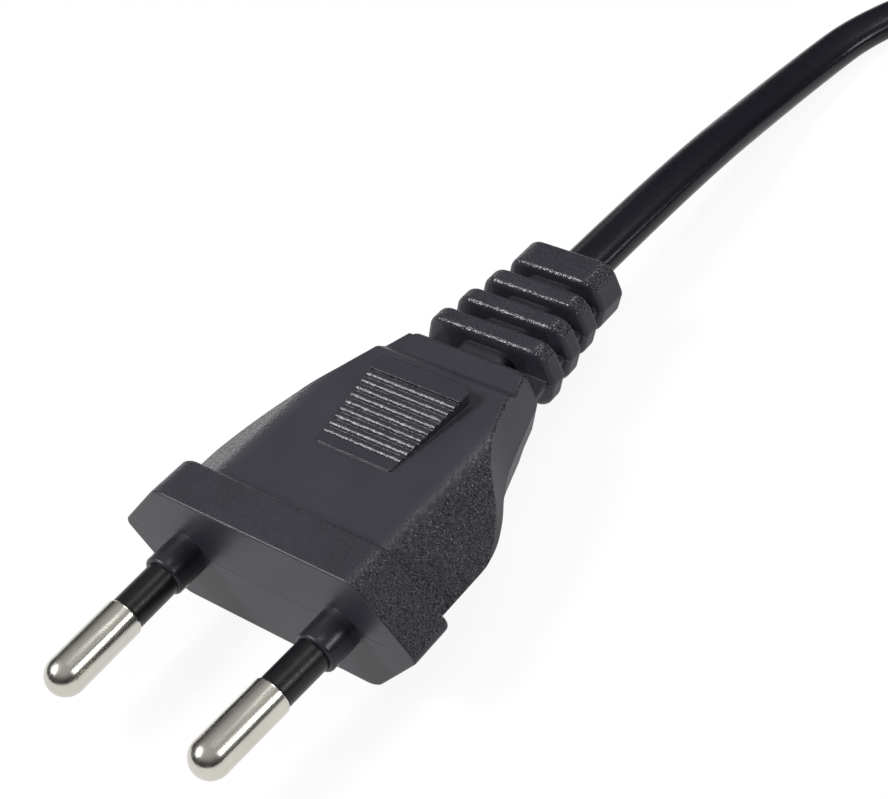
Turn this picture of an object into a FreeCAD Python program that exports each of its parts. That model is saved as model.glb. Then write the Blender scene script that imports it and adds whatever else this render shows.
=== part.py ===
import FreeCAD, Part
import math
import os

V = FreeCAD.Vector

# A two-pin europlug lying flat, with its flat cord. X runs across the plug, +Y towards the cord, +Z up.
# The origin is the centre of the engagement face, so the pins reach into -Y. Millimetres.

# Whole moulding, from the engagement face to the end of the strain relief
body_length = 51.9

# Engagement face and flange
face_width = 35.3
face_flat = 23.5
face_height = 13.7
face_corner_radius = 2.5
face_tip_radius = 0.9
flange_depth = 5.2
flange_rear_radius = 0.6
flange_front_radius = 0.2

# Grip body behind the flange
grip_step = 1.1
grip_slope = 1.39
grip_height = 9.04
grip_corner_radius = 4.7
grip_front_half = 16.2
grip_bend_half = 15.2
grip_bend_y = 14.7
grip_bend_radius = 18.0
grip_waist_half = 10.2
grip_waist_y = 22.3
grip_waist_radius = 22.0
grip_rear_half = 7.0
grip_rim_radius = 0.4
grip_wall_lean = 1.3
grip_drop_length = 1.1
grip_drop_radius = 0.8
neck_half = 8.15
neck_height = 7.3
neck_length = 3.7
neck_corner_radius = 1.3
neck_rim_radius = 0.9

# Thumb pads, a ridged wedge on the top and on the underside
pad_front_y = 14.4
pad_rear_y = 26.5
pad_front_half = 4.55
pad_rear_half = 5.7
pad_front_rise = 0.15
pad_rear_rise = 1.5
pad_corner_radius = 1.1
ridge_count = 9
ridge_pitch = 0.97
ridge_depth = 0.4
ridge_first_y = 15.7

# Strain relief: ribs on a core, joined at the sides by thin webs, and an end block
rib_count = 3
rib_gap = 1.65
neck_gap = 2.4
rib_thickness = 2.35
rib_front_half = 8.0
rib_front_height = 7.3
rib_corner_radius = 2.0
rib_tip_radius = 1.2
rib_rim_radius = 0.6
rib_side_lean = 1.1
end_block_length = 4.2
end_block_half = 6.15
end_block_height = 6.8
end_block_rim_radius = 0.6
core_wall = 0.4
web_thickness = 0.6
web_inset = 0.7

# Pins, with their sleeves and the moulded collars at the face
pin_spacing_base = 18.6
pin_spacing_tip = 17.5
pin_length = 19.0
pin_diameter = 4.0
pin_bare_length = 10.0
pin_shoulder_radius = 0.35
pin_shank_diameter = 2.9
sleeve_diameter = 3.6
collar_diameter = 4.4
collar_length = 3.8
collar_edge_radius = 0.3
pin_flange_diameter = 5.0
pin_flange_depth = 1.2
pin_flange_start = 1.6
barrel_diameter = 3.2
barrel_start = 8.2
barrel_length = 5.0
barrel_bore_depth = 4.2

# Hard insert that holds the pins
bridge_half = 12.6
bridge_front_y = 1.0
bridge_depth = 6.4
bridge_height = 5.6
bridge_corner_radius = 1.2

# Cord: a flat sheath with two cores
cord_width = 5.4
cord_thickness = 3.4
cord_end_y = 33.0
core_diameter = 2.1
core_spacing = 2.3
conductor_diameter = 1.1
strip_gap = 0.6
core_lead = 4.0

# Route of the cord between its stripped end and the hank, in the order that it runs
cord_drop_points = [
    (0.0, 68.0, 0.0),
    (-1.1, 103.0, -5.15),
    (1.4, 120.0, -5.15),
    (15.0, 141.0, -5.15),
]

# Hank of the put-away length: strands on edge round two bends, in layers, held by a tie
hank_centre_x = -4.9
hank_near_y = 170.0
hank_run = 66.0
hank_mid_radius = 18.1
hank_strands = 4
hank_layers = 2
hank_strand_pitch = 3.6
hank_layer_pitch = 5.5
hank_edge_radius = 1.6
hank_lead_in = 14.0
hank_lead_out = 16.0
hank_exit_angle = 14.0
tie_width = 9.0
tie_thickness = 0.8

# Figure-eight connector at the far end of the cord
contact_spacing = 8.6
nose_lobe_radius = 3.85
nose_waist_height = 5.4
nose_length = 12.0
nose_seat = 3.0
contact_diameter = 3.2
contact_bore = 2.4
contact_recess = 1.0
hood_width = 20.0
hood_height = 11.2
hood_length = 17.0
hood_corner_radius = 3.0
hood_rim_radius = 1.0
boot_length = 13.0
boot_rear_width = 9.2
boot_rear_height = 7.2
boot_groove_count = 3
boot_groove_width = 1.5
boot_groove_depth = 1.1
connector_cord_seat = 15.0

# Values that follow from the sizes above
rib_pitch = rib_thickness + rib_gap
relief_end_y = body_length - end_block_length
rib_first_y = relief_end_y - rib_count * rib_pitch
neck_rear_y = rib_first_y - neck_gap
neck_front_y = neck_rear_y - neck_length
grip_drop_y = neck_front_y - grip_drop_length
grip_rear_y = neck_rear_y - neck_rim_radius
floor_z = -face_height / 2
side_slope = (face_width - face_flat) / face_height
pin_tilt = math.degrees(math.atan2((pin_spacing_base - pin_spacing_tip) / 2, pin_length))
hank_reach = (hank_strands / hank_layers - 1) / 2 * hank_strand_pitch
hank_outer_turn = hank_mid_radius + hank_reach
hank_outer = hank_outer_turn + cord_thickness / 2
hank_inner = hank_mid_radius - hank_reach - cord_thickness / 2
hank_far_y = hank_near_y + hank_run
hank_height = (hank_layers - 1) * hank_layer_pitch + cord_width
contact_length = nose_length + nose_seat - contact_recess
connector_length = nose_length + hood_length + boot_length
OVERLAP = 0.5


def rounded_corner(before, corner, after, radius):
    """Start, middle and end of the arc that rounds one corner."""
    to_before = (before - corner).normalize()
    to_after = (after - corner).normalize()
    half_angle = to_before.getAngle(to_after) / 2
    reach = radius / math.tan(half_angle)
    middle = (to_before + to_after).normalize() * (radius / math.sin(half_angle) - radius)
    return corner + to_before * reach, corner + middle, corner + to_after * reach


def joined(stops):
    """Edges through a list of stops, each one a point or the three points of an arc."""
    edges = []
    last = None
    for stop in stops:
        first = stop[0]
        if last is not None and last.distanceToPoint(first) > 1e-6:
            edges.append(Part.LineSegment(last, first).toShape())
        if len(stop) == 3:
            edges.append(Part.Arc(*stop).toShape())
        last = stop[-1]
    return edges


def outline(corners, radii):
    """Closed wire through the corners, each rounded by its own radius."""
    count = len(corners)
    stops = []
    for i in range(count):
        if radii[i] > 0:
            stops.append(rounded_corner(corners[i - 1], corners[i], corners[(i + 1) % count], radii[i]))
        else:
            stops.append((corners[i],))
    stops.append((stops[0][0],))
    return Part.Wire(joined(stops))


def extruded(wire, direction):
    return Part.Face(wire).extrude(direction)


def edges_at(shape, y):
    """Edges of a solid that lie in the plane at this Y."""
    return [
        e for e in shape.Edges
        if abs(e.BoundBox.YMin - y) < 1e-4 and abs(e.BoundBox.YMax - y) < 1e-4
    ]


def mirrored(shape, normal):
    return shape.mirror(V(0, 0, 0), normal)


def fused(shapes):
    return shapes[0].fuse(shapes[1:]).removeSplitter()


def hexagon(y, tip, height, slope, corner_radius, tip_radius):
    """Flat-topped outline across X and Z whose sides lean out to a rounded tip on the parting plane."""
    tip += tip_radius * (math.hypot(1, slope) - 1)
    top = tip - height / 2 * slope
    half = height / 2
    corners = [
        V(tip, y, 0), V(top, y, half), V(-top, y, half),
        V(-tip, y, 0), V(-top, y, -half), V(top, y, -half),
    ]
    radii = [tip_radius, corner_radius, corner_radius, tip_radius, corner_radius, corner_radius]
    return outline(corners, radii)


def flange():
    """Hexagonal front plate with a softly rounded rear edge."""
    wire = hexagon(0, face_width / 2, face_height, side_slope, face_corner_radius, face_tip_radius)
    plate = extruded(wire, V(0, flange_depth, 0))
    plate = plate.makeFillet(flange_rear_radius, edges_at(plate, flange_depth))
    return plate.makeFillet(flange_front_radius, edges_at(plate, 0))


def grip_outline(rear_y, z, wider):
    """Plan of the grip at this height, which narrows in an S-curve towards the neck."""
    right = [
        (V(grip_front_half + wider, 0, z), 0),
        (V(grip_bend_half + wider, grip_bend_y, z), grip_bend_radius),
        (V(grip_waist_half + wider, grip_waist_y, z), grip_waist_radius),
        (V(grip_rear_half + wider, rear_y, z), 0),
    ]
    left = [(V(-p.x, p.y, p.z), r) for p, r in reversed(right)]
    corners, radii = zip(*(right + left))
    return outline(corners, radii)


def grip_plan(rear_y, height):
    """Block in the plan of the grip, with walls that lean out to the parting plane."""
    top = grip_outline(rear_y, height / 2, 0)
    middle = grip_outline(rear_y, 0, grip_wall_lean)
    upper = Part.makeLoft([middle, top], True, True)
    return upper.fuse(mirrored(upper, V(0, 0, 1)))


def rim_edges(shape, front_y, rear_y):
    """Edges between two planes in Y where a leaning wall meets a flatter face above or below it."""
    found = []
    for edge in shape.Edges:
        faces = shape.ancestorsOfType(edge, Part.Face)
        steep = [abs(f.normalAt(*f.Surface.parameter(f.CenterOfMass)).z) < 0.5 for f in faces]
        box = edge.BoundBox
        if box.YMax > front_y + 1e-3 and box.YMin < rear_y - 1e-3 and steep.count(True) == 1:
            found.append(edge)
    return found


def grip_profile(front_y):
    """Block in the side view of the grip, which drops softly to the height of the neck."""
    high = grip_height / 2
    low = neck_height / 2
    upper = [
        (V(-face_width / 2, grip_rear_y, low), 0),
        (V(-face_width / 2, neck_front_y, low), grip_drop_radius),
        (V(-face_width / 2, grip_drop_y, high), grip_drop_radius),
        (V(-face_width / 2, front_y, high), 0),
    ]
    lower = [(V(p.x, p.y, -p.z), r) for p, r in reversed(upper)]
    corners, radii = zip(*(upper + lower))
    return extruded(outline(corners, radii), V(face_width, 0, 0))


def grip():
    """Grip body: the hexagonal section, set in from the flange, cut to the S-shaped plan."""
    start = flange_depth / 2
    tip = face_width / 2 - grip_step
    section = hexagon(start, tip, grip_height, grip_slope, grip_corner_radius, 0)
    block = extruded(section, V(0, grip_rear_y - start, 0))
    body = block.common(grip_plan(grip_rear_y, grip_height)).common(grip_profile(start))
    return body.makeFillet(grip_rim_radius, rim_edges(body, start, grip_rear_y))


def neck():
    """Neck between the grip and the strain relief, with leaning sides like the ribs."""
    front_y = (grip_waist_y + neck_front_y) / 2
    lean = rib_side_lean / (rib_front_height / 2)
    section = hexagon(front_y, neck_half, neck_height, lean, neck_corner_radius, rib_tip_radius)
    block = extruded(section, V(0, neck_rear_y - front_y, 0))
    return block.makeFillet(neck_rim_radius, edges_at(block, neck_rear_y))


def thumb_pad():
    """Wedge that rises towards the cord, with rounded cross ridges and a plain rear end."""
    base = grip_height / 2
    rise = (pad_rear_rise - pad_front_rise) / (pad_rear_y - pad_front_y)

    def top(y, drop=0.0):
        return V(0, y, base + pad_front_rise + rise * (y - pad_front_y) - drop)

    stops = [(V(0, pad_front_y, base - OVERLAP),), (top(pad_front_y),), (top(ridge_first_y),)]
    for i in range(ridge_count):
        y = ridge_first_y + i * ridge_pitch
        valley = top(y, ridge_depth)
        crest = top(y + ridge_pitch / 2)
        stops.append((valley, crest, top(y + ridge_pitch, ridge_depth)))
    ridges_end = ridge_first_y + ridge_count * ridge_pitch
    stops += [(top(ridges_end),), (top(pad_rear_y),), (V(0, pad_rear_y, base - OVERLAP),)]
    stops.append(stops[0])
    profile = Part.Wire(joined(stops))
    profile.translate(V(-2 * pad_rear_half, 0, 0))
    wedge = extruded(profile, V(4 * pad_rear_half, 0, 0))
    corners = [
        V(pad_front_half, pad_front_y, base - OVERLAP),
        V(pad_rear_half, pad_rear_y, base - OVERLAP),
        V(-pad_rear_half, pad_rear_y, base - OVERLAP),
        V(-pad_front_half, pad_front_y, base - OVERLAP),
    ]
    radii = [pad_corner_radius / 4, pad_corner_radius, pad_corner_radius, pad_corner_radius / 4]
    return wedge.common(extruded(outline(corners, radii), V(0, 0, pad_rear_rise + 2 * OVERLAP)))


def relief_share(y):
    """0 at the first rib and 1 at the end block."""
    return (y - rib_first_y) / (relief_end_y - rib_first_y)


def relief_half(y):
    return rib_front_half + (end_block_half - rib_front_half) * relief_share(y)


def relief_height(y):
    return rib_front_height + (end_block_height - rib_front_height) * relief_share(y)


def relief_plate(y, length, rim_radius):
    """One rib or the end block, with rounded rims."""
    height = relief_height(y)
    lean = rib_side_lean / (height / 2)
    section = hexagon(y, relief_half(y), height, lean, rib_corner_radius, rib_tip_radius)
    plate = extruded(section, V(0, length, 0))
    return plate.makeFillet(rim_radius, edges_at(plate, y) + edges_at(plate, y + length))


def relief_core():
    """Core inside the ribs, from the neck to the end block."""
    y = neck_rear_y - OVERLAP
    half = cord_width / 2 + core_wall
    high = cord_thickness / 2 + core_wall
    corners = [V(half, y, -high), V(half, y, high), V(-half, y, high), V(-half, y, -high)]
    wire = outline(corners, [high * 0.6] * 4)
    return extruded(wire, V(0, relief_end_y + OVERLAP - y, 0))


def relief_webs():
    """Thin plate on the parting plane that ties the ribs together at their sides."""
    front = neck_rear_y - OVERLAP
    rear = relief_end_y + OVERLAP
    wide = relief_half(front) - web_inset
    narrow = relief_half(rear) - web_inset
    low = -web_thickness / 2
    corners = [V(wide, front, low), V(narrow, rear, low), V(-narrow, rear, low), V(-wide, front, low)]
    return extruded(outline(corners, [0] * 4), V(0, 0, web_thickness))


def on_pin(shape, side):
    """Puts a shape made along Y at the centre line onto the tilted axis of one pin."""
    placed = shape.copy()
    placed.rotate(V(0, 0, 0), V(0, 0, 1), -side * pin_tilt)
    placed.translate(V(side * pin_spacing_base / 2, 0, 0))
    return placed


def on_axis(y, side):
    """Point at this depth on the axis of one pin."""
    tilt = math.radians(pin_tilt)
    return V(side * (pin_spacing_base / 2 + y * math.sin(tilt)), y * math.cos(tilt), 0)


def revolved(stops):
    """Solid of revolution about the Y axis from a half profile in X and Y."""
    return Part.Face(Part.Wire(joined(stops))).revolve(V(0, 0, 0), V(0, 1, 0), 360)


def ring(outer, inner, start, end):
    """Round tube along Y."""
    tube = Part.makeCylinder(outer, end - start, V(0, start, 0), V(0, 1, 0))
    return tube.cut(Part.makeCylinder(inner, end - start, V(0, start, 0), V(0, 1, 0)))


def pin():
    """Brass pin: round end, bare length, thinner shank, anchoring flange and crimp barrel."""
    r = pin_diameter / 2
    shank = pin_shank_diameter / 2
    big = pin_flange_diameter / 2
    barrel = barrel_diameter / 2
    bore = conductor_diameter / 2
    tip = -pin_length
    bare_end = tip + pin_bare_length
    flange_end = pin_flange_start + pin_flange_depth
    barrel_end = barrel_start + barrel_length
    bore_end = barrel_end - barrel_bore_depth
    half = math.sqrt(0.5)
    shoulder = rounded_corner(V(r, tip, 0), V(r, bare_end, 0), V(shank, bare_end, 0), pin_shoulder_radius)
    stops = [
        (V(0, tip, 0), V(r * half, tip + r - r * half, 0), V(r, tip + r, 0)),
        shoulder,
        (V(shank, bare_end, 0),),
        (V(shank, pin_flange_start, 0),),
        (V(big, pin_flange_start, 0),),
        (V(big, flange_end, 0),),
        (V(shank, flange_end, 0),),
        (V(shank, barrel_start, 0),),
        (V(barrel, barrel_start, 0),),
        (V(barrel, barrel_end, 0),),
        (V(bore, barrel_end, 0),),
        (V(bore, bore_end, 0),),
        (V(0, bore_end, 0),),
        (V(0, tip, 0),),
    ]
    return revolved(stops)


def sleeve():
    """Insulating sleeve on the shank, from the bare metal to the anchoring flange."""
    return ring(sleeve_diameter / 2, pin_shank_diameter / 2, pin_bare_length - pin_length, pin_flange_start)


def collar(side):
    """Moulded collar round the foot of a pin, square to the face."""
    foot = V(side * pin_spacing_base / 2, -collar_length, 0)
    post = Part.makeCylinder(collar_diameter / 2, collar_length + OVERLAP, foot, V(0, 1, 0))
    return post.makeFillet(collar_edge_radius, edges_at(post, -collar_length))


def bridge_block():
    """Bar across both pins, before the pins are taken out of it."""
    half = bridge_height / 2
    corners = [V(bridge_half, bridge_front_y, -half), V(bridge_half, bridge_front_y, half),
               V(-bridge_half, bridge_front_y, half), V(-bridge_half, bridge_front_y, -half)]
    return extruded(outline(corners, [bridge_corner_radius] * 4), V(0, bridge_depth, 0))


def flat_section(centre, along, width, thickness):
    """Flat-oval wire across a direction, with its broad side level."""
    across = along.cross(V(0, 0, 1)).normalize()
    up = across.cross(along).normalize()
    r = thickness / 2
    side = across * (width / 2 - r)
    stops = [
        (centre + side - up * r, centre + side + across * r, centre + side + up * r),
        (centre - side + up * r, centre - side - across * r, centre - side - up * r),
        (centre + side - up * r,),
    ]
    return Part.Wire(joined(stops))


def round_section(centre, along, radius):
    return Part.Wire([Part.Circle(centre, along, radius).toShape()])


def route(points):
    """Straight runs joined by arcs that are as large as the runs allow, and the radii of the arcs."""
    stops = [(points[0],)]
    radii = []
    for before, corner, after in zip(points, points[1:], points[2:]):
        turn = math.pi - (before - corner).getAngle(after - corner)
        shorter = min(before.distanceToPoint(corner), corner.distanceToPoint(after))
        radius = 0.45 * shorter / math.tan(turn / 2)
        radii.append(radius)
        stops.append(rounded_corner(before, corner, after, radius))
    stops.append((points[-1],))
    return Part.Wire(joined(stops)), radii


def swept(path, section):
    """Solid swept along a path with its broad side kept level."""
    sweep = Part.BRepOffsetAPI.MakePipeShell(path)
    sweep.setBiNormalMode(V(0, 0, 1))
    sweep.add(section)
    sweep.build()
    sweep.makeSolid()
    return sweep.shape()


def core_path(side):
    """Line of one core, from the bottom of the crimp to the stripped end of the sheath."""
    end_x = side * core_spacing / 2
    barrel_end = barrel_start + barrel_length
    return route([
        on_axis(barrel_end - barrel_bore_depth, side),
        on_axis(barrel_end + core_lead, side),
        V(end_x, cord_end_y - core_lead, 0),
        V(end_x, cord_end_y, 0),
    ])[0]


def conductor(side):
    path = core_path(side)
    start = path.Vertexes[0].Point
    return swept(path, round_section(start, on_axis(1, side) - on_axis(0, side), conductor_diameter / 2))


def core(side):
    """Insulation of one core, stripped back from the crimp."""
    path = core_path(side)
    start = path.Vertexes[0].Point
    jacket = swept(path, round_section(start, on_axis(1, side) - on_axis(0, side), core_diameter / 2))
    bare = Part.makeCylinder(core_diameter, barrel_length + strip_gap, V(0, barrel_start, 0), V(0, 1, 0))
    return jacket.cut(conductor(side)).cut(on_pin(bare, side))


def cord_points():
    points = [V(0, cord_end_y, 0)]
    points += [V(*p) for p in cord_drop_points]
    start_x = hank_centre_x + hank_outer_turn
    points.append(V(start_x, hank_near_y - hank_lead_in, floor_z + cord_thickness / 2))
    return points


def cord():
    """Flat cord from its stripped end, out of the strain relief and along the floor to the hank."""
    points = cord_points()
    path, radii = route(points)
    body = swept(path, flat_section(points[0], points[1] - points[0], cord_width, cord_thickness))
    section = cord_thickness * (cord_width - cord_thickness) + math.pi * cord_thickness ** 2 / 4
    print("cord radii", [round(r, 1) for r in radii], "length", round(path.Length, 1),
          "volume over section times length", round(body.Volume / (section * path.Length), 4))
    return body


def lead(centre, along, length):
    """Straight stub of cord."""
    return extruded(flat_section(centre, along, cord_width, cord_thickness), along * length)


def hank_plan(radius, z):
    """Long round-ended outline at this distance from the middle line of the hank."""
    x = hank_centre_x
    stops = [
        (V(x + radius, hank_far_y, z), V(x, hank_far_y + radius, z), V(x - radius, hank_far_y, z)),
        (V(x - radius, hank_near_y, z), V(x, hank_near_y - radius, z), V(x + radius, hank_near_y, z)),
        (V(x + radius, hank_far_y, z),),
    ]
    return Part.Wire(joined(stops))


def hank_exit():
    """Point where the last turn leaves the hank, and its direction there."""
    angle = math.radians(hank_exit_angle)
    x = hank_centre_x + hank_outer_turn * math.cos(angle)
    y = hank_far_y + hank_outer_turn * math.sin(angle)
    return V(x, y, floor_z + hood_height / 2), V(-math.sin(angle), math.cos(angle), 0)


def cord_coil():
    """Outer shape of the hank, with the two stubs where the cord runs in and out."""
    rise = V(0, 0, hank_height)
    middle = extruded(hank_plan(hank_inner, floor_z), rise)
    bundle = extruded(hank_plan(hank_outer, floor_z), rise).cut(middle)
    level = [e for e in bundle.Edges if e.BoundBox.ZLength < 1e-4]
    bundle = bundle.makeFillet(hank_edge_radius, level)
    run_in = lead(cord_points()[-1], V(0, 1, 0), hank_lead_in)
    leave, heading = hank_exit()
    run_out = lead(leave, heading, hank_lead_out + connector_cord_seat)
    return fused([bundle, run_in, run_out]).cut(cord_tie())


def cord_tie():
    """Band drawn tight round the middle of the hank, flush with the turns beside it."""
    y = (hank_near_y + hank_far_y - tie_width) / 2

    def frame(inset):
        half = hank_outer - inset
        low = floor_z + inset
        high = floor_z + hank_height - inset
        x = hank_centre_x
        corners = [V(x - half, y, low), V(x + half, y, low), V(x + half, y, high), V(x - half, y, high)]
        return extruded(outline(corners, [hank_edge_radius] * 4), V(0, tie_width, 0))

    return frame(0).cut(frame(tie_thickness))


def on_connector(shape):
    """Lays a shape at the far end that was made along Y, cord entry at the origin, nose towards -Y."""
    leave, heading = hank_exit()
    placed = shape.copy()
    placed.rotate(V(0, 0, 0), V(0, 0, 1), 180 + hank_exit_angle)
    placed.translate(leave + heading * hank_lead_out)
    return placed


def nose_block():
    """Hard figure-eight nose, before the contacts are taken out of it."""
    rear = -boot_length - hood_length + nose_seat
    length = nose_length + nose_seat
    lobes = [
        Part.makeCylinder(nose_lobe_radius, length, V(s * contact_spacing / 2, rear - length, 0), V(0, 1, 0))
        for s in (-1, 1)
    ]
    waist = Part.makeBox(contact_spacing, length, nose_waist_height,
                         V(-contact_spacing / 2, rear - length, -nose_waist_height / 2))
    return fused(lobes + [waist])


def contact_tube(side):
    """Round socket contact with a solid rear end that takes the conductor."""
    front = -connector_length + contact_recess
    rear = front + contact_length
    r = contact_diameter / 2
    tube = Part.makeCylinder(r, contact_length, V(0, front, 0), V(0, 1, 0))
    socket = Part.makeCylinder(contact_bore / 2, nose_length - contact_recess, V(0, front, 0), V(0, 1, 0))
    depth = barrel_bore_depth / 2
    crimp = Part.makeCylinder(conductor_diameter / 2, depth, V(0, rear - depth, 0), V(0, 1, 0))
    tube = tube.cut(socket).cut(crimp)
    tube.translate(V(side * contact_spacing / 2, 0, 0))
    return tube


def contact_passage(side):
    """Room for a contact and, in front of it, the hole that a pin enters by."""
    front = -connector_length
    start = V(0, front + contact_recess, 0)
    room = Part.makeCylinder(contact_diameter / 2, contact_length, start, V(0, 1, 0))
    entry = Part.makeCylinder(contact_bore / 2, contact_recess, V(0, front, 0), V(0, 1, 0))
    room = room.fuse(entry)
    room.translate(V(side * contact_spacing / 2, 0, 0))
    return room


def connector_core_path(side):
    contact_rear = -connector_length + contact_recess + contact_length
    start = V(side * contact_spacing / 2, contact_rear - barrel_bore_depth / 2, 0)
    end = V(side * core_spacing / 2, -connector_cord_seat, 0)
    lead_length = (end.y - start.y) / 4
    return route([start, start + V(0, lead_length, 0), end - V(0, lead_length, 0), end])[0]


def connector_conductor(side):
    path = connector_core_path(side)
    return swept(path, round_section(path.Vertexes[0].Point, V(0, 1, 0), conductor_diameter / 2))


def connector_core(side):
    """Insulation of one core inside the connector."""
    path = connector_core_path(side)
    start = path.Vertexes[0].Point
    jacket = swept(path, round_section(start, V(0, 1, 0), core_diameter / 2))
    bare = Part.makeCylinder(core_diameter, barrel_bore_depth / 2 + strip_gap, start, V(0, 1, 0))
    return jacket.cut(connector_conductor(side)).cut(bare)


def block_outline(y, width, height, radius):
    """Rounded rectangle across X and Z."""
    x = width / 2
    z = height / 2
    return outline([V(x, y, -z), V(x, y, z), V(-x, y, z), V(-x, y, -z)], [radius] * 4)


def boot_size(y):
    """Width and height of the connector's boot, which widens towards the hood."""
    share = 0.75 * -y / boot_length
    width = boot_rear_width + (hood_width - boot_rear_width) * share
    return width, boot_rear_height + (hood_height - boot_rear_height) * share


def connector_hood():
    """Moulded hood with a tapered, grooved boot, before the inner pieces are taken out of it."""
    hood = extruded(
        block_outline(-boot_length - hood_length, hood_width, hood_height, hood_corner_radius),
        V(0, hood_length, 0),
    )
    hood = hood.makeFillet(hood_rim_radius, edges_at(hood, -boot_length))
    ends = [block_outline(y, *boot_size(y), boot_rear_height / 3) for y in (-boot_length - OVERLAP, 0)]
    boot = Part.makeLoft(ends, True, True)
    pitch = boot_length / (boot_groove_count + 1)
    for i in range(boot_groove_count):
        y = -pitch * (i + 1)
        width, height = boot_size(y)
        depth = 2 * boot_groove_depth
        along = V(0, boot_groove_width, 0)
        around = extruded(block_outline(y, 2 * width, 2 * height, height / 4), along)
        inside = extruded(block_outline(y, width - depth, height - depth, height / 4), along)
        boot = boot.cut(around.cut(inside))
    return fused([hood, boot])


def moulding():
    """Outer form of the plug's moulded body, before the inner pieces are taken out of it."""
    pieces = [flange(), grip(), neck(), relief_core(), relief_webs()]
    for i in range(rib_count):
        pieces.append(relief_plate(rib_first_y + i * rib_pitch, rib_thickness, rib_rim_radius))
    pieces.append(relief_plate(relief_end_y, end_block_length, end_block_rim_radius))
    pad = thumb_pad()
    pieces += [pad, mirrored(pad, V(0, 0, 1))]
    pieces += [collar(side) for side in (-1, 1)]
    return fused(pieces)


def build():
    """Every piece of the plug by name, each in its place."""
    parts = {}
    for side, name in ((-1, "left"), (1, "right")):
        parts["pin_" + name] = on_pin(pin(), side)
        parts["sleeve_" + name] = on_pin(sleeve(), side)
        parts["core_" + name] = core(side)
        parts["conductor_" + name] = conductor(side)
    metal = [parts["pin_left"], parts["pin_right"], parts["sleeve_left"], parts["sleeve_right"]]
    parts["pin_bridge"] = bridge_block().cut(metal)
    parts["cord"] = cord()
    inside = list(parts.values())
    parts["moulded_body"] = moulding().cut(inside)
    parts["cord_coil"] = cord_coil()
    parts["cord_tie"] = cord_tie()
    wires = {}
    far = {}
    for side, name in ((-1, "left"), (1, "right")):
        wires["connector_core_" + name] = connector_core(side)
        wires["connector_conductor_" + name] = connector_conductor(side)
        far["connector_contact_" + name] = contact_tube(side)
    passages = [contact_passage(side) for side in (-1, 1)]
    far["connector_nose"] = nose_block().cut(passages)
    seat = lead(V(0, 0, 0), V(0, -1, 0), connector_cord_seat)
    hood = connector_hood().cut(seat).cut(passages + [far["connector_nose"]])
    far["connector_body"] = hood.cut(list(wires.values()))
    for name, shape in (far | wires).items():
        parts[name] = on_connector(shape)
    return parts


os.makedirs("parts", exist_ok=True)
for node, shape in build().items():
    shape.exportStep("parts/" + node + ".step")
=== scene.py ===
import math

import bpy
from mathutils import Matrix, Vector


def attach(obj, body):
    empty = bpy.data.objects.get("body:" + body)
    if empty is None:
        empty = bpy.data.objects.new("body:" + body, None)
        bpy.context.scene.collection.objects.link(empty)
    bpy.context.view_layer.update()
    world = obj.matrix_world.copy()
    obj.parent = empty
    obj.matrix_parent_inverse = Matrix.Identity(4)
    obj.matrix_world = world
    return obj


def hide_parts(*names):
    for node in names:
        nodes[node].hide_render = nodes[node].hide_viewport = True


MM = 0.001
FLOOR_Z = -6.85 * MM

# Camera: place, lens and sensor in millimetres, directions without a unit
CAMERA_AT = (94.427, -72.098, 120.247)
CAMERA_RIGHT = (0.79566924, 0.59099985, -0.13277668)
CAMERA_AHEAD = (-0.51794206, 0.5501471, -0.65503755)
CAMERA_LENS = 74.054
CAMERA_SENSOR = 36
CAMERA_NEAREST = 1.0

# Flat cord, in millimetres
CORD_WIDTH = 5.4
CORD_THICKNESS = 3.4
CORD_SEEN = [
    (0, 33, 0), (0, 68, 0), (-1.1, 103, -5.15),
    (1.4, 120, -5.15), (15, 141, -5.15), (15, 156, -4.15),
]
CORD_STEPS = 12

# Section of the cord: reach of its handles as a share of half its width and half its thickness
SECTION_ALONG = 0.7
SECTION_ACROSS = 0.6
SECTION_STEPS = 10

# Hank of the put-away cord, in millimetres
HANK_X = -4.9
HANK_NEAR = 170.0
HANK_FAR = 236.0
HANK_OUTER = 19.9
HANK_INNER = 16.3
HANK_LOW = -4.15
HANK_HIGH = 1.35

# Points of the hank: four on each bend, six on each left straight, where the strands change place
BEND_POINTS = 4
BEND_HALF_STEP = math.pi / (2 * BEND_POINTS)
STRAIGHT_POINTS = 6
FIRST_CHANGE = 5
CHANGE_EARLIER = 2

# Way from the hank into the far connector, in millimetres
LEAVE_ANGLE = math.radians(14)
LEAVE_RUN = 16.0
LEAVE_MIDDLE = LEAVE_RUN * 0.55
CONNECTOR_SEAT = 14.9
CONNECTOR_Z = -1.25

# How far the flat side of the cord is turned, from 0 for level to 1 for on edge
LEVEL = 0.0
ON_EDGE = 1.0
TURNED_BEFORE_HANK = 0.6
TURNED_LEAVING = 0.9
TURNED_AFTER_HANK = 0.4

# Moulded body: where one kind of surface gives way to the next, in millimetres
COLLAR_END_Y = (-0.9, -0.3)
FACE_END_Y = (0.0, 0.3)
FLANGE_END_Y = (5.0, 7.0)
PAD_START_Y = (10, 12)
PAD_HALF_X = 5.8
PAD_TOP_Z = (4.54, 4.62)
RELIEF_START_Y = (32.2, 33.4)
CORE_SIDE_X = (4.6, 5.0)
CORE_TOP_Z = (2.6, 2.9)
PARTING_Z = (0.04, 0.14)

# Moulded body: the same by how far the surface faces up or down, or to a side
TOPS = (0.3, 0.5)
RIB_TOPS = (0.15, 0.4)
GRAINED_TOPS = (0.4, 0.7)
PARTED_WALLS = (0.3, 0.6)
SLANTS = (0.1, 0.6)
SIDE_WALLS = (0.4, 0.7)

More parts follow.
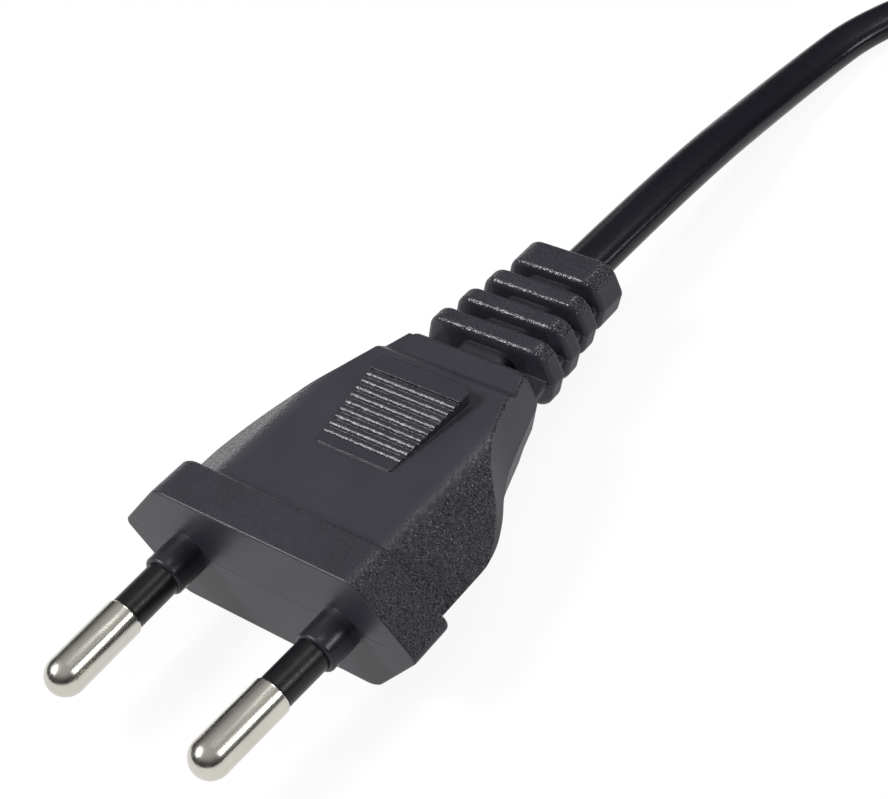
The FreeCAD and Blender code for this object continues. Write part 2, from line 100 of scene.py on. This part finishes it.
# Moulded body: sizes and depths of its grain in millimetres, and how strong it is
FINE_SIZE = 0.16
FINE_DEPTH = 0.02
FINE_ON_WALLS = 0.15
FINE_ON_FACE = 0.3
PEBBLE_SIZE = 0.27
PEBBLE_WOBBLE = 0.18
PEBBLE_DEPTH = 0.32
PEBBLE_VALLEYS = (0.25, 0.55)
PEBBLES_ON_FLANGE = 0.26
PEBBLES_ON_RIBS = 0.26
PEBBLES_ON_PADS = 0.15
CLOUD_SIZE = 7.0
SEAM_DEPTH = 0.05
SEAM_STRENGTH = 0.6
EDGE_RADIUS = 0.15

# Moulded body: colour, painted shade and roughness
CHARCOAL = (0.028, 0.0275, 0.0365)
CHARCOAL_DARK = (0.0165, 0.0162, 0.0225)
CHARCOAL_LIGHT = (0.0345, 0.0337, 0.045)
# How much darker the colour grows: darker grain between the pebbles, and painted shade in the rib
# gaps and on the collars
PAINTED_SHADE_AND_DARKER_GRAIN = -0.9
# Strength of the painted shade on the front of the collars round the pins
COLLAR_PAINTED_SHADE = 0.7
MATT = (0.34, 0.44)
ROUGHER_WALLS = 0.15
SMOOTHER_GRAIN = -0.14
SLANT_POLISH = 0.9

# Noises and softened edges of all materials
NOISE_ROUGHNESS = 0.55
NOISE_SPAN = (0.25, 0.75)
EDGE_SAMPLES = 6

# Floor and light, in metres and watts
FLOOR_HALF = 3.0
FLOOR_COLOUR = (0.9, 0.9, 0.9, 1)
FLOOR_ROUGHNESS = 0.8
WHITE_SHARE = 0.91
DOME = {"From Min": 0.25, "From Max": 1.0, "To Min": 0.05, "To Max": 0.52}
LAMPS = [
    # name, place, target, size, power
    ("key_left", (-0.36, -0.32, 0.5), (0, -0.32, 0), (0.34, 0.14), 5.2),
    ("rim_right", (0.62, 0.26, 0.42), (0, 0.02, 0), (0.16, 0.16), 1.1),
    ("rim_cord", (0.34, 0.36, 0.2), (0, 0.09, 0), (0.1, 0.06), 0.3),
    ("top_back", (0.05, 0.42, 0.6), (0, 0.02, 0), (0.16, 0.16), 1.1),
    ("low_left", (-0.62, 0.5, 0.24), (0, 0.02, 0), (0.34, 0.16), 0.16),
]

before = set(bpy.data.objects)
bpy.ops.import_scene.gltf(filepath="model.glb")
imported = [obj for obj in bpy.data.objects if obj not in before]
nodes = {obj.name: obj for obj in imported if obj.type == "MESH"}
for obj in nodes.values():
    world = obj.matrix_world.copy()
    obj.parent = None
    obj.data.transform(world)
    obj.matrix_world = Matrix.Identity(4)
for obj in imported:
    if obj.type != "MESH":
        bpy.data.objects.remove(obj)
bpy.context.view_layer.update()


# Shader helpers

class Shader:
    """A principled material and the texture nodes for it, in the object's own coordinates."""

    def __init__(self, name, colour, roughness, **extra):
        self.material = bpy.data.materials.new(name)
        self.material.use_nodes = True
        self.nodes = self.material.node_tree.nodes
        self.links = self.material.node_tree.links
        self.bsdf = self.nodes["Principled BSDF"]
        self.bsdf.inputs["Base Color"].default_value = (*colour, 1)
        self.bsdf.inputs["Roughness"].default_value = roughness
        for socket, value in extra.items():
            self.bsdf.inputs[socket.replace("_", " ")].default_value = value
        coords = self.nodes.new("ShaderNodeTexCoord")
        self.place = coords.outputs["Object"]
        self.facing = coords.outputs["Normal"]

    def feed(self, socket, value):
        """Links a socket to another one, or sets it to a number."""
        if isinstance(value, bpy.types.NodeSocket):
            self.links.new(value, socket)
        else:
            socket.default_value = value

    def math(self, operation, *values):
        node = self.nodes.new("ShaderNodeMath")
        node.operation = operation
        for socket, value in zip(node.inputs, values):
            self.feed(socket, value)
        return node.outputs[0]

    def product(self, first, *others):
        for other in others:
            first = self.math("MULTIPLY", first, other)
        return first

    def largest(self, first, *others):
        for other in others:
            first = self.math("MAXIMUM", first, other)
        return first

    def opposite(self, mask):
        return self.math("SUBTRACT", 1.0, mask)

    def step(self, value, span, low=0.0, high=1.0):
        """Smooth step from low at the start of a span to high at its end."""
        node = self.nodes.new("ShaderNodeMapRange")
        node.interpolation_type = "SMOOTHSTEP"
        start, end = span
        inputs = {"Value": value, "From Min": start, "From Max": end, "To Min": low, "To Max": high}
        for name, given in inputs.items():
            self.feed(node.inputs[name], given)
        return node.outputs["Result"]

    def border(self, place, span, low=0.0, high=1.0):
        """Smooth step along one axis, over a span in millimetres."""
        return self.step(place, [v * MM for v in span], low, high)

    def split(self, vector):
        node = self.nodes.new("ShaderNodeSeparateXYZ")
        self.links.new(vector, node.inputs[0])
        return node.outputs

    def stretched(self, x, y, z):
        node = self.nodes.new("ShaderNodeMapping")
        self.links.new(self.place, node.inputs["Vector"])
        node.inputs["Scale"].default_value = (x, y, z)
        return node.outputs["Vector"]

    def noise(self, size, detail=3.0, where=None):
        """Cloudy noise whose features are about size millimetres across."""
        node = self.nodes.new("ShaderNodeTexNoise")
        self.links.new(where or self.place, node.inputs["Vector"])
        node.inputs["Scale"].default_value = 1 / (size * MM)
        node.inputs["Detail"].default_value = detail
        node.inputs["Roughness"].default_value = NOISE_ROUGHNESS
        return node.outputs["Fac"]

    def cells(self, size, where):
        """Distance to the middle of the nearest cell, for cells about size millimetres across."""
        node = self.nodes.new("ShaderNodeTexVoronoi")
        node.feature = "SMOOTH_F1"
        self.links.new(where, node.inputs["Vector"])
        node.inputs["Scale"].default_value = 1 / (size * MM)
        return node.outputs["Distance"]

    def jittered(self, size, reach):
        """Place moved by up to reach millimetres, in wobbles about size millimetres across."""
        noise = self.nodes.new("ShaderNodeTexNoise")
        self.links.new(self.place, noise.inputs["Vector"])
        noise.inputs["Scale"].default_value = 1 / (size * MM)
        node = self.nodes.new("ShaderNodeVectorMath")
        node.operation = "MULTIPLY_ADD"
        self.links.new(noise.outputs["Color"], node.inputs[0])
        node.inputs[1].default_value = (reach * MM,) * 3
        self.links.new(self.place, node.inputs[2])
        return node.outputs["Vector"]

    def tint(self, value, dark, light):
        """Base colour that goes from dark to light with a value."""
        node = self.nodes.new("ShaderNodeMix")
        node.data_type = "RGBA"
        self.feed(node.inputs["Factor"], value)
        node.inputs["A"].default_value = (*dark, 1)
        node.inputs["B"].default_value = (*light, 1)
        self.links.new(node.outputs["Result"], self.bsdf.inputs["Base Color"])

    def rough(self, value, low, high):
        """Roughness that goes from low to high with a noise."""
        spread = self.step(value, NOISE_SPAN, low, high)
        self.links.new(spread, self.bsdf.inputs["Roughness"])

    def soft_edges(self, radius):
        """Normal of the surface with its sharp edges rounded by a radius in millimetres."""
        node = self.nodes.new("ShaderNodeBevel")
        node.samples = EDGE_SAMPLES
        node.inputs["Radius"].default_value = radius * MM
        return node.outputs["Normal"]

    def bump(self, height, depth, strength=1.0, under=None):
        """Relief of the surface: height from 0 to 1, depth in millimetres."""
        node = self.nodes.new("ShaderNodeBump")
        self.links.new(height, node.inputs["Height"])
        self.feed(node.inputs["Strength"], strength)
        node.inputs["Distance"].default_value = depth * MM
        if under:
            self.links.new(under, node.inputs["Normal"])
        self.links.new(node.outputs["Normal"], self.bsdf.inputs["Normal"])
        return node.outputs["Normal"]


# Materials

def moulding():
    """Charcoal moulded plastic: matt flats, smooth walls, pebbled flange, slants, ribs and pads;
    painted shade in the rib gaps and on the collars.
    """
    s = Shader("moulded_plastic", CHARCOAL, MATT[0], Specular_IOR_Level=0.4)
    x, y, z = s.split(s.place)
    nx, _, nz = s.split(s.facing)
    off_x, off_z = s.math("ABSOLUTE", x), s.math("ABSOLUTE", z)
    sideways, level = s.math("ABSOLUTE", nx), s.math("ABSOLUTE", nz)

    # Kinds of surface, each 1 where it is and 0 elsewhere
    tops = s.step(level, TOPS)
    walls = s.product(s.step(sideways, SIDE_WALLS), s.opposite(tops))
    behind_face = s.border(y, FACE_END_Y)
    relief = s.border(y, RELIEF_START_Y)
    above_core = s.border(off_z, CORE_TOP_Z)
    beside_core = s.border(off_x, CORE_SIDE_X, 1.0, 0.0)
    core = s.product(relief, beside_core, s.opposite(above_core))
    ribs = s.product(relief, above_core, s.step(level, RIB_TOPS))
    slants = s.product(s.step(sideways, SLANTS), tops, s.opposite(core))
    pad_width = s.math("LESS_THAN", off_x, PAD_HALF_X * MM)
    pads = s.product(pad_width, s.border(off_z, PAD_TOP_Z), s.border(y, PAD_START_Y))

    # Grain, and how strong the pebbles are on each kind
    fine = s.noise(FINE_SIZE, detail=2.0)
    pebbles = s.cells(PEBBLE_SIZE, s.jittered(PEBBLE_SIZE, PEBBLE_WOBBLE))
    clouds = s.noise(CLOUD_SIZE, detail=4.0)
    on_flange = s.product(s.border(y, FLANGE_END_Y, PEBBLES_ON_FLANGE, 0.0), tops)
    on_ribs = s.product(ribs, PEBBLES_ON_RIBS)
    on_pads = s.product(pads, PEBBLES_ON_PADS)
    pebbled = s.product(s.largest(slants, on_flange, on_ribs, on_pads), behind_face)

    # Darker colour: darker grain between the pebbles, and painted shade on the core in the gaps
    # between the ribs
    valleys = s.product(s.step(pebbles, PEBBLE_VALLEYS), pebbled)
    # Painted shade on the collars round the pins, fading out towards the face
    painted_shade_on_collars = s.border(y, COLLAR_END_Y, COLLAR_PAINTED_SHADE, 0.0)
    painted_shade_and_darker_grain = s.largest(valleys, core, painted_shade_on_collars)
    tone = s.math("MULTIPLY_ADD", painted_shade_and_darker_grain, PAINTED_SHADE_AND_DARKER_GRAIN, clouds)
    s.tint(s.largest(tone, 0.0), CHARCOAL_DARK, CHARCOAL_LIGHT)

    polished = s.largest(ribs, pads, s.product(slants, SLANT_POLISH))
    smoother = s.product(polished, SMOOTHER_GRAIN)
    change = s.math("MULTIPLY_ADD", s.largest(core, walls), ROUGHER_WALLS, smoother)
    roughness = s.math("ADD", s.step(fine, NOISE_SPAN, *MATT), change)
    s.feed(s.bsdf.inputs["Roughness"], roughness)

    parted = s.step(level, PARTED_WALLS, 1.0, 0.0)
    parting = s.product(s.border(off_z, PARTING_Z, 1.0, 0.0), parted)
    seam = s.bump(parting, SEAM_DEPTH, SEAM_STRENGTH, s.soft_edges(EDGE_RADIUS))
    grain = s.product(
        s.step(level, GRAINED_TOPS, FINE_ON_WALLS, 1.0),
        s.border(y, FACE_END_Y, FINE_ON_FACE, 1.0),
    )
    s.bump(pebbles, PEBBLE_DEPTH, pebbled, s.bump(fine, FINE_DEPTH, grain, seam))
    return s.material


def metal(name, dark, light, roughness):
    """Plated metal with fine drawing lines along it and a faint uneven tone."""
    s = Shader(name, light, roughness, Metallic=1.0)
    lines = s.noise(size=0.3, where=s.stretched(1.0, 0.06, 1.0))
    s.tint(s.noise(size=3.0, detail=4.0), dark, light)
    s.rough(lines, low=roughness * 0.8, high=roughness * 1.3)
    dents = s.bump(s.noise(size=2.5, detail=2.0), depth=0.01, strength=0.3)
    s.bump(lines, depth=0.006, strength=0.3, under=dents)
    return s.material


def plastic(name, dark, light, roughness, grain=0.2, shine=0.35):
    """Plain moulded plastic with a fine grain and a slightly uneven tone."""
    s = Shader(name, light, roughness, Specular_IOR_Level=shine)
    fine = s.noise(size=grain)
    s.tint(s.noise(size=grain * 25, detail=4.0), dark, light)
    s.rough(fine, low=roughness - 0.06, high=roughness + 0.08)
    s.bump(fine, depth=0.01, strength=0.5)
    return s.material


def sheath():
    """Glossy black cord sheath with faint waves and a very fine grain."""
    s = Shader("cord_sheath", (0.004, 0.004, 0.005), 0.26, Specular_IOR_Level=0.22)
    waves = s.noise(size=4.0)
    fine = s.noise(size=0.3)
    s.tint(waves, dark=(0.004, 0.004, 0.007), light=(0.0065, 0.0062, 0.0115))
    s.rough(fine, low=0.2, high=0.28)
    s.bump(fine, depth=0.002, strength=0.2, under=s.bump(waves, depth=0.1, strength=0.4))
    return s.material


def strands():
    """Bare copper with the twist of its fine strands."""
    s = Shader("copper_strands", (0.72, 0.36, 0.2), 0.3, Metallic=1.0)
    twist = s.nodes.new("ShaderNodeTexWave")
    twist.bands_direction = "DIAGONAL"
    s.links.new(s.place, twist.inputs["Vector"])
    twist.inputs["Scale"].default_value = 900
    twist.inputs["Distortion"].default_value = 0.6
    s.tint(s.noise(size=0.8), dark=(0.6, 0.28, 0.15), light=(0.78, 0.42, 0.25))
    s.rough(s.noise(size=0.2, detail=2.0), low=0.25, high=0.4)
    s.bump(twist.outputs["Fac"], depth=0.05)
    return s.material


# Each with its name, its dark and light colour and its roughness
finish = {
    "moulding": moulding(),
    "pin_metal": metal("nickel_plate", (0.54, 0.52, 0.47), (0.66, 0.64, 0.58), 0.21),
    "sleeve": plastic("pin_sleeve", (0.003, 0.003, 0.004), (0.005, 0.005, 0.0065), 0.34, shine=0.3),
    "insert": plastic("hard_insert", (0.05, 0.05, 0.052), (0.08, 0.08, 0.083), 0.45),
    "core_brown": plastic("brown_insulation", (0.14, 0.05, 0.02), (0.19, 0.07, 0.03), 0.4),
    "core_blue": plastic("blue_insulation", (0.03, 0.12, 0.42), (0.04, 0.16, 0.5), 0.4),
    "copper": strands(),
    "sheath": sheath(),
    "tie": plastic("tie_band", (0.02, 0.02, 0.022), (0.035, 0.035, 0.038), 0.45, grain=0.3),
    "nose": plastic("connector_nose", (0.018, 0.018, 0.02), (0.03, 0.03, 0.033), 0.35),
    "contact": metal("tinned_contact", (0.6, 0.58, 0.54), (0.7, 0.68, 0.64), 0.25),
}

SLOT_OF = {
    "moulded_body": "moulding", "connector_body": "moulding",
    "pin_left": "pin_metal", "pin_right": "pin_metal",
    "sleeve_left": "sleeve", "sleeve_right": "sleeve", "pin_bridge": "insert",
    "core_left": "core_brown", "core_right": "core_blue",
    "connector_core_left": "core_brown", "connector_core_right": "core_blue",
    "conductor_left": "copper", "conductor_right": "copper",
    "connector_conductor_left": "copper", "connector_conductor_right": "copper",
    "cord_tie": "tie", "connector_nose": "nose",
    "connector_contact_left": "contact", "connector_contact_right": "contact",
}
for name, slot in SLOT_OF.items():
    nodes[name].data.materials.clear()
    nodes[name].data.materials.append(finish[slot])


# Cord

def bend(centre_y, radius, first):
    """Control points of half a turn of the hank, in plan."""
    reach = radius / math.cos(BEND_HALF_STEP)
    angles = [first + BEND_HALF_STEP * (2 * k + 1) for k in range(BEND_POINTS)]
    return [(HANK_X + reach * math.cos(a), centre_y + reach * math.sin(a)) for a in angles]


def right_straight(radius, near, far):
    """Control points of the straight on the right of the hank, away from the plug, in plan."""
    return [(HANK_X + radius, near), (HANK_X + radius, far)]


def left_straight(radius, far, near):
    """Control points of the straight on the left of the hank, back towards the plug, in plan."""
    last = STRAIGHT_POINTS - 1
    return [(HANK_X - radius, far + (near - far) * k / last) for k in range(STRAIGHT_POINTS)]


def cord_route():
    """Control points of the whole cord, each with how far its flat side is turned there."""
    inset = HANK_OUTER * math.tan(BEND_HALF_STEP)
    near, far = HANK_NEAR + inset, HANK_FAR - inset
    route = [(place, LEVEL) for place in CORD_SEEN[:-1]]
    route.append((CORD_SEEN[-1], TURNED_BEFORE_HANK))

    # On each left straight the cord changes to the next strand, earlier each time
    strands_of_hank = [
        (HANK_OUTER, HANK_LOW), (HANK_INNER, HANK_LOW),
        (HANK_INNER, HANK_HIGH), (HANK_OUTER, HANK_HIGH),
    ]
    pairs = zip(strands_of_hank, strands_of_hank[1:])
    for turn, ((radius, z), (next_radius, next_z)) in enumerate(pairs):
        change = FIRST_CHANGE - CHANGE_EARLIER * turn
        plan = right_straight(radius, near, far) + bend(HANK_FAR, radius, 0)
        plan += left_straight(radius, far, near)[:change]
        route += [((*p, z), ON_EDGE) for p in plan]
        plan = left_straight(next_radius, far, near)[change:]
        plan += bend(HANK_NEAR, next_radius, math.pi)
        route += [((*p, next_z), ON_EDGE) for p in plan]
    route += [((*p, HANK_HIGH), ON_EDGE) for p in right_straight(HANK_OUTER, near, far)]

    # The last strand leaves the far bend for the connector
    cos, sin = math.cos(LEAVE_ANGLE), math.sin(LEAVE_ANGLE)
    x, y = HANK_X + HANK_OUTER * cos, HANK_FAR + HANK_OUTER * sin
    bend_y = HANK_FAR + HANK_OUTER * math.tan(LEAVE_ANGLE / 2)
    route.append(((HANK_X + HANK_OUTER, bend_y, HANK_HIGH), TURNED_LEAVING))
    way_out = [
        (LEAVE_MIDDLE, TURNED_AFTER_HANK), (LEAVE_RUN, LEVEL), (LEAVE_RUN + CONNECTOR_SEAT, LEVEL),
    ]
    for ahead, turned in way_out:
        route.append(((x - sin * ahead, y + cos * ahead, CONNECTOR_Z), turned))
    return route


def flat_oval():
    """Outline of the cord across its length, only used as the curve's bevel."""
    wide, thick = CORD_WIDTH / 2, CORD_THICKNESS / 2
    along, across = wide * SECTION_ALONG, thick * SECTION_ACROSS
    stops = [
        ((0, -thick), (along, 0)),
        ((wide, 0), (0, across)),
        ((0, thick), (-along, 0)),
        ((-wide, 0), (0, -across)),
    ]
    curve = bpy.data.curves.new("cord_section", "CURVE")
    spline = curve.splines.new("BEZIER")
    spline.bezier_points.add(len(stops) - 1)
    for point, ((x, y), (ahead_x, ahead_y)) in zip(spline.bezier_points, stops):
        point.handle_left_type = point.handle_right_type = "FREE"
        point.co = (x * MM, y * MM, 0)
        point.handle_left = ((x - ahead_x) * MM, (y - ahead_y) * MM, 0)
        point.handle_right = ((x + ahead_x) * MM, (y + ahead_y) * MM, 0)
    spline.use_cyclic_u = True
    spline.resolution_u = SECTION_STEPS
    return bpy.data.objects.new("cord_section", curve)


def add_cord():
    """The whole flat cord, one curve from inside the plug to inside the far connector."""
    curve = bpy.data.curves.new("cord", "CURVE")
    curve.dimensions = "3D"
    curve.twist_mode = "Z_UP"
    curve.bevel_mode = "OBJECT"
    curve.bevel_object = flat_oval()
    curve.use_fill_caps = True
    spline = curve.splines.new("NURBS")
    route = cord_route()
    spline.points.add(len(route) - 1)
    for point, (place, turned) in zip(spline.points, route):
        point.co = (*(Vector(place) * MM), 1)
        point.tilt = turned * math.pi / 2
    spline.order_u = 3
    spline.use_endpoint_u = True
    spline.resolution_u = CORD_STEPS
    piece = bpy.data.objects.new("cord_lead", curve)
    bpy.context.scene.collection.objects.link(piece)
    curve.materials.append(finish["sheath"])
    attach(piece, "root")
    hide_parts("cord", "cord_coil")


# Camera, floor and light

def add_camera():
    data = bpy.data.cameras.new("camera")
    data.lens = CAMERA_LENS
    data.sensor_width = CAMERA_SENSOR
    data.sensor_fit = "HORIZONTAL"
    data.clip_start = CAMERA_NEAREST * MM
    right = Vector(CAMERA_RIGHT).normalized()
    back = -Vector(CAMERA_AHEAD).normalized()
    up = back.cross(right)
    place = Matrix((right, up, back)).transposed().to_4x4()
    place.translation = Vector(CAMERA_AT) * MM
    piece = bpy.data.objects.new("camera", data)
    piece.matrix_world = place
    bpy.context.scene.collection.objects.link(piece)
    bpy.context.scene.camera = piece


def seen_white(tree, shader):
    """Mixes white into a shader for what the camera and mirrors see, so that it reads as white."""
    path = tree.nodes.new("ShaderNodeLightPath")
    seen = path.outputs["Is Camera Ray"]
    for kind in ("Is Glossy Ray", "Is Transmission Ray"):
        either = tree.nodes.new("ShaderNodeMath")
        either.operation = "MAXIMUM"
        tree.links.new(seen, either.inputs[0])
        tree.links.new(path.outputs[kind], either.inputs[1])
        seen = either.outputs[0]
    share = tree.nodes.new("ShaderNodeMath")
    share.operation = "MULTIPLY"
    share.inputs[1].default_value = WHITE_SHARE
    tree.links.new(seen, share.inputs[0])
    white = tree.nodes.new("ShaderNodeEmission")
    mix = tree.nodes.new("ShaderNodeMixShader")
    tree.links.new(share.outputs[0], mix.inputs[0])
    tree.links.new(shader, mix.inputs[1])
    tree.links.new(white.outputs[0], mix.inputs[2])
    return mix.outputs[0]


def add_floor():
    """White paper under the object, which keeps the object's shadow."""
    mesh = bpy.data.meshes.new("floor")
    sides = [(-1, -1), (1, -1), (1, 1), (-1, 1)]
    corners = [(FLOOR_HALF * x, FLOOR_HALF * y, FLOOR_Z) for x, y in sides]
    mesh.from_pydata(corners, [], [(0, 1, 2, 3)])
    piece = bpy.data.objects.new("floor", mesh)
    bpy.context.scene.collection.objects.link(piece)
    material = bpy.data.materials.new("white_paper")
    material.use_nodes = True
    tree = material.node_tree
    paper = tree.nodes["Principled BSDF"]
    paper.inputs["Base Color"].default_value = FLOOR_COLOUR
    paper.inputs["Roughness"].default_value = FLOOR_ROUGHNESS
    surface = tree.nodes["Material Output"].inputs["Surface"]
    tree.links.new(seen_white(tree, paper.outputs[0]), surface)
    mesh.materials.append(material)


def add_lamp(name, place, target, size, watts):
    data = bpy.data.lights.new(name, "AREA")
    data.shape = "RECTANGLE"
    data.size, data.size_y = size
    data.energy = watts
    piece = bpy.data.objects.new(name, data)
    piece.location = place
    aim = Vector(target) - Vector(place)
    piece.rotation_euler = aim.to_track_quat("-Z", "Y").to_euler()
    bpy.context.scene.collection.objects.link(piece)


def set_world():
    """Soft studio dome: dim at the horizon, brighter overhead."""
    data = bpy.data.worlds.new("world")
    data.use_nodes = True
    tree = data.node_tree
    coords = tree.nodes.new("ShaderNodeTexCoord")
    split = tree.nodes.new("ShaderNodeSeparateXYZ")
    ramp = tree.nodes.new("ShaderNodeMapRange")
    ramp.interpolation_type = "SMOOTHSTEP"
    for name, value in DOME.items():
        ramp.inputs[name].default_value = value
    background = tree.nodes["Background"]
    background.inputs["Color"].default_value = (1, 1, 1, 1)
    tree.links.new(coords.outputs["Generated"], split.inputs[0])
    tree.links.new(split.outputs["Z"], ramp.inputs["Value"])
    tree.links.new(ramp.outputs["Result"], background.inputs["Strength"])
    bpy.context.scene.world = data


add_cord()
add_camera()
add_floor()
set_world()
for lamp in LAMPS:
    add_lamp(*lamp)

bpy.context.scene.view_settings.view_transform = "Standard"
